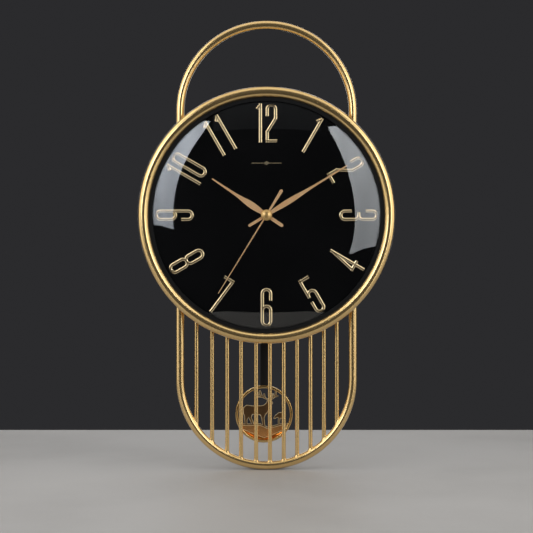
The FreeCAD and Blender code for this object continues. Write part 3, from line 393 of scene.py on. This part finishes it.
def cell_wrap(name):
    """Plain blue wrap on the cell, with bare metal at both ends."""
    paint = Finish(name)
    z = paint.along(paint.place(), "Z")
    wrap_top = cell_high.z - cap_bare
    wrap_foot = cell_low.z + heel_bare
    cap = paint.ramp(z, wrap_top - wrap_edge, wrap_top + wrap_edge)
    heel = 1 - paint.ramp(z, wrap_foot - wrap_edge, wrap_foot + wrap_edge)
    bare = cap + heel
    scuff = paint.noise(paint.place(), scale=500, detail=3)
    return paint.done(paint.surface(
        Base_Color=paint.blend(bare, CELL_BLUE, STEEL),
        Metallic=bare,
        Roughness=around(0.30, swing=0.15, pattern=scuff),
        Normal=paint.bump(scuff, strength=0.04, depth=0.05 * MM),
    ))


def floor_finish(name):
    """Pale floor with faint clouds and a fine grain."""
    paint = Finish(name)
    cloud = paint.noise(paint.place(), scale=3, detail=6)
    grain = paint.noise(paint.place(), scale=240, detail=2)
    return paint.done(paint.surface(
        Base_Color=paint.blend(paint.ramp(cloud, low=0.40, high=0.75), FLOOR_PALE, FLOOR_VEIN),
        Roughness=around(0.55, swing=0.1, pattern=grain),
        Normal=paint.bump(grain, strength=0.04, depth=0.2 * MM),
    ))


# Light panels: the foot's light as a share of the top's, and how many streaks of the tubes behind
# the cloth lie in a metre, across and up
foot_light_share = 0.55
streaks_across = 9.0
streaks_up = 0.8


def glow(name, colour, strength, low, high):
    """The cloth of a softbox, dimmer at its foot and with the soft streaks of its tubes."""
    paint = Finish(name)
    x = paint.along(paint.place(), "X")
    z = paint.along(paint.place(), "Z")
    rise = foot_light_share + (1 - foot_light_share) * paint.ramp(z, low, high)
    streak = paint.noise(paint.joined(x * streaks_across, 0, z * streaks_up), scale=1, detail=1)
    return paint.done(paint.surface(
        Base_Color=UNLIT,
        Specular_IOR_Level=0.0,
        Emission_Color=paint.blend(rise * around(1.0, swing=0.8, pattern=streak), UNLIT, colour),
        Emission_Strength=strength,
    ))


# One finish for each material slot of the record
polished_gold = {"bright": GOLD, "deep": GOLD_DEEP, "dullness": 0.20, "lacquered": 0.08}
finishes = {
    "hoop_metal": metal("bar_gold", lines_along_bar, **polished_gold),
    "bezel_metal": metal("bezel_gold", lines_round_dial, **polished_gold),
    "drum_metal": metal("drum_gold", lines_round_dial, BRASS, BRASS_DEEP, dullness=0.34,
                        line_strength=0.12),
    "cover_metal": lacquer("cover_black", COVER_BLACK, BLACK_WORN, dullness=0.42,
                           grain_scale=900, grain_strength=0.18),
    "foot_metal": lacquer("foot_black", BLACK, BLACK_WORN, dullness=0.40,
                          grain_scale=700, grain_strength=0.2),
    "screw_metal": metal("screw_zinc", lines_round_dial, STEEL, STEEL_DEEP, dullness=0.28,
                         line_strength=0.1),
    "glass": clear_glass("dome_glass"),
    "gasket_rubber": rubber("gasket_black"),
    "dial_black": dial_lacquer("dial_black"),
    # Numerals: painted shade on their flat faces, painted highlight on their edges
    "numeral_metal": metal_with_painted_shade("numeral_gold", NUMERAL_GOLD, NUMERAL_PAINTED_SHADE),
    "hand_metal": hand_metal("hand_rose_gold"),
    "cap_metal": metal("cap_gold", lines_round_dial, CAP_GOLD, GOLD_DEEP, dullness=0.30, lacquered=0.35),
    "ornament_metal": metal_with_painted_shade("ornament_gold", NUMERAL_GOLD, NUMERAL_GOLD),
    "movement_plastic": moulded("case_black", BLACK, BLACK_WORN, dullness=0.46),
    "wheel_plastic": moulded("wheel_white", ACETAL, ACETAL_AGED, dullness=0.40),
    "knob_plastic": moulded("knob_white", ACETAL, ACETAL_AGED, dullness=0.36),
    "rotor_metal": metal("rotor_magnet", lines_round_dial, STEEL_DEEP, BLACK_WORN, dullness=0.38,
                         line_strength=0.1),
    "coil_copper": copper_winding("coil_copper"),
    "nut_brass": metal("nut_brass", lines_across, BRASS, BRASS_DEEP, dullness=0.26, line_strength=0.1),
    "washer_rubber": rubber("washer_black"),
    "cell_wrap": cell_wrap("cell_wrap"),
    "contact_metal": metal("contact_nickel", lines_across, STEEL, STEEL_DEEP, dullness=0.24,
                           line_strength=0.1),
    "rod_metal": lacquer("rod_black", BLACK, BLACK_WORN, dullness=0.30,
                         grain_scale=1200, grain_strength=0.08),
    "arm_plastic": moulded("arm_black", BLACK, BLACK_WORN, dullness=0.44),
    "bob_metal": metal("bob_gold", lines_along_bar, GOLD, GOLD_DEEP, dullness=0.17),
    # Figures: painted shade on their flat faces, painted highlight on their edges
    "figure_metal": metal_with_painted_shade("figure_gold", FIGURE_GOLD, FIGURE_PAINTED_SHADE),
    "base_copper": metal("base_copper", lines_across, COPPER, COPPER_DEEP, dullness=0.16,
                         line_strength=0.08),
}
# Painted highlight on the beads along the figures' and hill's outlines
painted_highlight_gold = metal("painted_highlight_gold", lines_across, EDGE_HIGHLIGHT_GOLD, FIGURE_GOLD, dullness=0.34, lacquered=0.6)
upper_gold = metal("upper_hoop_gold", lines_round_bend(upper_bend_height, side=1), **polished_gold)
lower_gold = metal("lower_hoop_gold", lines_round_bend(lower_bend_height, side=-1), **polished_gold)


def dress(node, finish):
    for slot in nodes[node].material_slots:
        slot.material = finish


for entry in frame["record"]["subparts"]:
    dress(entry["node"], finishes[entry["material_slot"]])
dress("upper_hoop", upper_gold)
dress("lower_hoop", lower_gold)

# Edges that the real pieces have rounded off, each with its width in millimetres
joined_within = 0.004 * MM
flat_within = math.radians(0.5)
sharp_from = math.radians(40)
rounding_steps = 2
rounded_edges = {
    "hour_hand": 0.18, "minute_hand": 0.18, "second_hand": 0.16, "dial_ornament": 0.22,
    "bob_figures": 0.5, "bob_base": 0.35, "bob_ring": 1.2, "rear_foot": 0.6,
    "movement_rear_case": 0.5, "set_knob": 0.25, "battery_cell": 0.5, "pendulum_rod": 0.3,
    "swing_arm": 0.3, "rear_screws": 0.25, "hub_cap": 0.3,
}


def soften(node, width):
    """Joins the faces of a piece and rounds its sharp edges."""
    weld = nodes[node].modifiers.new("joined", "WELD")
    weld.merge_threshold = joined_within
    flat = nodes[node].modifiers.new("flat_faces", "DECIMATE")
    flat.decimate_type = "DISSOLVE"
    flat.angle_limit = flat_within
    bevel = nodes[node].modifiers.new("rounded", "BEVEL")
    bevel.width = width
    bevel.segments = rounding_steps
    bevel.limit_method = "ANGLE"
    bevel.angle_limit = sharp_from
    bevel.harden_normals = True


for node, width in rounded_edges.items():
    soften(node, width * MM)

# Meshes and objects made here. A rectangle has one face, from its four corners in turn
one_face = [(0, 1, 2, 3)]


def new_mesh(name, points, faces):
    mesh = bpy.data.meshes.new(name)
    mesh.from_pydata(points, [], faces)
    return mesh


def add_object(name, data):
    made = bpy.data.objects.new(name, data)
    bpy.context.scene.collection.objects.link(made)
    return made


# Weld beads where the upright bars stand on the hoop. Each has waves round it, which turn from bar
# to bar, so that no two beads are alike, and a hollow profile, given as shares out and up
bar_count = 11
bead_points = 28
bead_reach = 1.7 * MM
bead_rise = 1.5 * MM
bead_wobble = 0.25 * MM
bead_waves = 5
wave_turn = 40
bead_profile_shares = ((1.0, 0.0), (0.55, 0.22), (0.2, 0.55), (0.0, 1.0))


def hoop_surface(x, y):
    """Height of the lower bend's inner surface at a place across and in depth."""
    inner = hoop_radius - math.sqrt(hoop_bar_radius ** 2 - y ** 2)
    return lower_bend_height - math.sqrt(inner ** 2 - x ** 2)


def weld_bead(name, bar):
    """A concave fillet of weld metal round a bar's foot."""
    low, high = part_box(bar)
    middle = (low.x + high.x) / 2
    bar_radius = (high.x - low.x) / 2
    points = []
    for out_share, up_share in bead_profile_shares:
        for i in range(bead_points):
            angle = math.tau * i / bead_points
            ripple = bead_wobble * math.sin(bead_waves * angle + wave_turn * middle / hoop_radius)
            reach = bar_radius + (bead_reach + ripple) * out_share
            x = middle + reach * math.cos(angle)
            y = reach * math.sin(angle)
            z = hoop_surface(x, y) + bead_rise * up_share
            points.append((x, hoop_plane + y, z))
    faces = []
    for ring in range(len(bead_profile_shares) - 1):
        for i in range(bead_points):
            a = ring * bead_points + i
            b = ring * bead_points + (i + 1) % bead_points
            faces.append((a, b, b + bead_points, a + bead_points))
    mesh = new_mesh(name, points, faces)
    mesh.shade_smooth()
    mesh.materials.append(finishes["hoop_metal"])
    piece = add_object(name, mesh)
    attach(piece, "clock")


for number in range(1, bar_count + 1):
    weld_bead(f"weld_bead_{number:02d}", f"grille_bar_{number:02d}")

# Raised edging on the bob's figures and hill, in a brighter gold: a painted highlight along their
# outlines
edging_radius = 0.36 * MM
edging_round_steps = 2
same_place = 0.02 * MM


def front_outlines(node):
    """The closed outlines of a piece's front face, each a list of points in order."""
    source = nodes[node]
    shape = bmesh.new()
    shape.from_mesh(source.data)
    shape.transform(source.matrix_world)
    bmesh.ops.remove_doubles(shape, verts=shape.verts, dist=same_place)
    shape.normal_update()
    front = min(v.co.y for v in shape.verts)
    flat = {f for f in shape.faces if abs(f.calc_center_median().y - front) < same_place}
    rim = [e for e in shape.edges if sum(f in flat for f in e.link_faces) == 1]
    following = {}
    for edge in rim:
        for start, end in (edge.verts, reversed(edge.verts)):
            following.setdefault(start, []).append(end)
    loops = []
    unused = set(following)
    while unused:
        spot = min(unused, key=lambda v: v.index)
        loop = []
        while spot is not None:
            loop.append(spot.co.copy())
            unused.discard(spot)
            spot = next((v for v in following[spot] if v in unused), None)
        loops.append(loop)
    shape.free()
    return loops


def edging(name, node, body):
    """A fine round bead along the front outline of a piece, in the brighter gold of a painted highlight.
    """
    curve = bpy.data.curves.new(name, "CURVE")
    curve.dimensions = "3D"
    curve.bevel_depth = edging_radius
    curve.bevel_resolution = edging_round_steps
    for loop in front_outlines(node):
        spline = curve.splines.new("POLY")
        spline.points.add(len(loop) - 1)
        for point, place in zip(spline.points, loop):
            point.co = (*place, 1)
        spline.use_cyclic_u = True
    drawn = bpy.data.objects.new(name + "_line", curve)
    mesh = bpy.data.meshes.new_from_object(drawn)
    bpy.data.objects.remove(drawn)
    mesh.name = name
    mesh.shade_smooth()
    mesh.materials.clear()
    mesh.materials.append(painted_highlight_gold)
    bead = add_object(name, mesh)
    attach(bead, body)


edging("figure_edging", "bob_figures", "pendulum")
edging("hill_edging", "bob_base", "pendulum")

# Floor, in metres: how far it reaches to each side, and its front and back
floor_reach = 1.5
floor_front = -0.45
floor_back = 0.353
floor_corners = [
    (-floor_reach, floor_front, 0), (floor_reach, floor_front, 0),
    (floor_reach, floor_back, 0), (-floor_reach, floor_back, 0),
]
floor_mesh = new_mesh("floor", floor_corners, one_face)
floor_mesh.materials.append(floor_finish("pale_floor"))
floor = add_object("floor", floor_mesh)

# Soft studio light, in metres: softboxes beside and above the camera, cards at both sides, low
# panels beside the camera, panels behind the clock, and one light overhead
softbox_plane = -1.25
softbox_steps = 28
softbox_lean_power = 2.3
softbox_foot_power = 5
card_profile = [(1.40, -0.45), (1.40, 1.10), (1.20, 1.40), (0.80, 1.58)]
card_front = -1.20
card_back = 0.18
rear_plane = 1.42


def light_panel(name, points, faces, colour, strength):
    """A glowing panel that lights the clock and shows in its metal, but not to the camera."""
    heights = [z for x, y, z in points]
    mesh = new_mesh(name, points, faces)
    mesh.materials.append(glow(name, colour, strength, min(heights), max(heights)))
    panel = add_object(name, mesh)
    panel.visible_camera = False


def softbox(name, side, reach, lean, foot, slant, low, high, width, colour, strength):
    """An upright softbox whose inner edge leans in near its top and turns in a little at its foot."""
    points = []
    for i in range(softbox_steps + 1):
        share = i / softbox_steps
        edge = reach - lean * share ** softbox_lean_power - foot * (1 - share) ** softbox_foot_power
        height = low + (high - low) * share
        points.append((side * edge, softbox_plane, height))
        points.append((side * (reach + width), softbox_plane, height + slant * (1 - share)))
    faces = [(2 * i, 2 * i + 1, 2 * i + 3, 2 * i + 2) for i in range(softbox_steps)]
    light_panel(name, points, faces, colour, strength)


def side_card(name, side, colour, strength):
    """A tall card at one side that leans over the clock at its top."""
    points = [(side * x, y, z) for y in (card_front, card_back) for x, z in card_profile]
    count = len(card_profile)
    faces = [(i, i + 1, i + 1 + count, i + count) for i in range(count - 1)]
    light_panel(name, points, faces, colour, strength)


def flat_panel(name, side, plane, inner, outer, low, high, colour, strength):
    """An upright rectangle at one side."""
    corners = [(side * inner, plane, low), (side * outer, plane, low),
               (side * outer, plane, high), (side * inner, plane, high)]
    light_panel(name, corners, one_face, colour, strength)


softbox("softbox_left", side=-1, reach=0.73, lean=0.29, foot=0.02, slant=0.16,
        low=0.25, high=1.10, width=0.60, colour=COOL_WHITE, strength=5.6)
softbox("softbox_right", side=1, reach=0.70, lean=0.215, foot=0.07, slant=0.20,
        low=0.06, high=1.06, width=0.60, colour=CLEAR_WHITE, strength=4.3)
softbox("softbox_high", side=1, reach=-0.42, lean=0, foot=0, slant=0,
        low=1.02, high=1.45, width=0.84, colour=CLEAR_WHITE, strength=0.15)
side_card("card_left", side=-1, colour=WARM_WHITE, strength=1.7)
side_card("card_right", side=1, colour=WARM_WHITE, strength=1.55)
for name, side, strength in (("low_left", -1, 1.5), ("low_right", 1, 2.6)):
    flat_panel(name, side, softbox_plane, inner=0.88, outer=1.12, low=-0.45, high=0.02,
               colour=WARM_WHITE, strength=strength)
for name, side in (("rear_left", -1), ("rear_right", 1)):
    flat_panel(name, side, rear_plane, inner=0.06, outer=0.72, low=0.15, high=1.30,
               colour=CLEAR_WHITE, strength=1.5)

overhead_width = 1.6
overhead_depth = 1.8
overhead_place = (0.0, -0.2, 1.6)
overhead_watts = 7.5
overhead = bpy.data.lights.new("overhead", "AREA")
overhead.shape = "RECTANGLE"
overhead.size = overhead_width
overhead.size_y = overhead_depth
overhead.energy = overhead_watts
overhead.color = WARM_WHITE[:3]
overhead_object = add_object("overhead", overhead)
overhead_object.location = overhead_place
overhead_object.visible_camera = False

world = bpy.data.worlds.new("studio")
world.use_nodes = True
room = world.node_tree.nodes["Background"]
room.inputs["Color"].default_value = ROOM_GREY
room.inputs["Strength"].default_value = 1.0
bpy.context.scene.world = world
bpy.context.scene.view_settings.view_transform = "Standard"

# Camera at the photograph's viewing angle, level, its place in metres and its sensor in millimetres
image_side_px = 533
focal_length_px = 1327
sensor_width = 36
camera_place = (0.0, -1.652, 0.247)
level = math.radians(90)
camera = bpy.data.cameras.new("camera")
camera.sensor_width = sensor_width
camera.lens = focal_length_px * sensor_width / image_side_px
camera_object = add_object("camera", camera)
camera_object.location = camera_place
camera_object.rotation_euler = (level, 0, 0)
bpy.context.scene.camera = camera_object
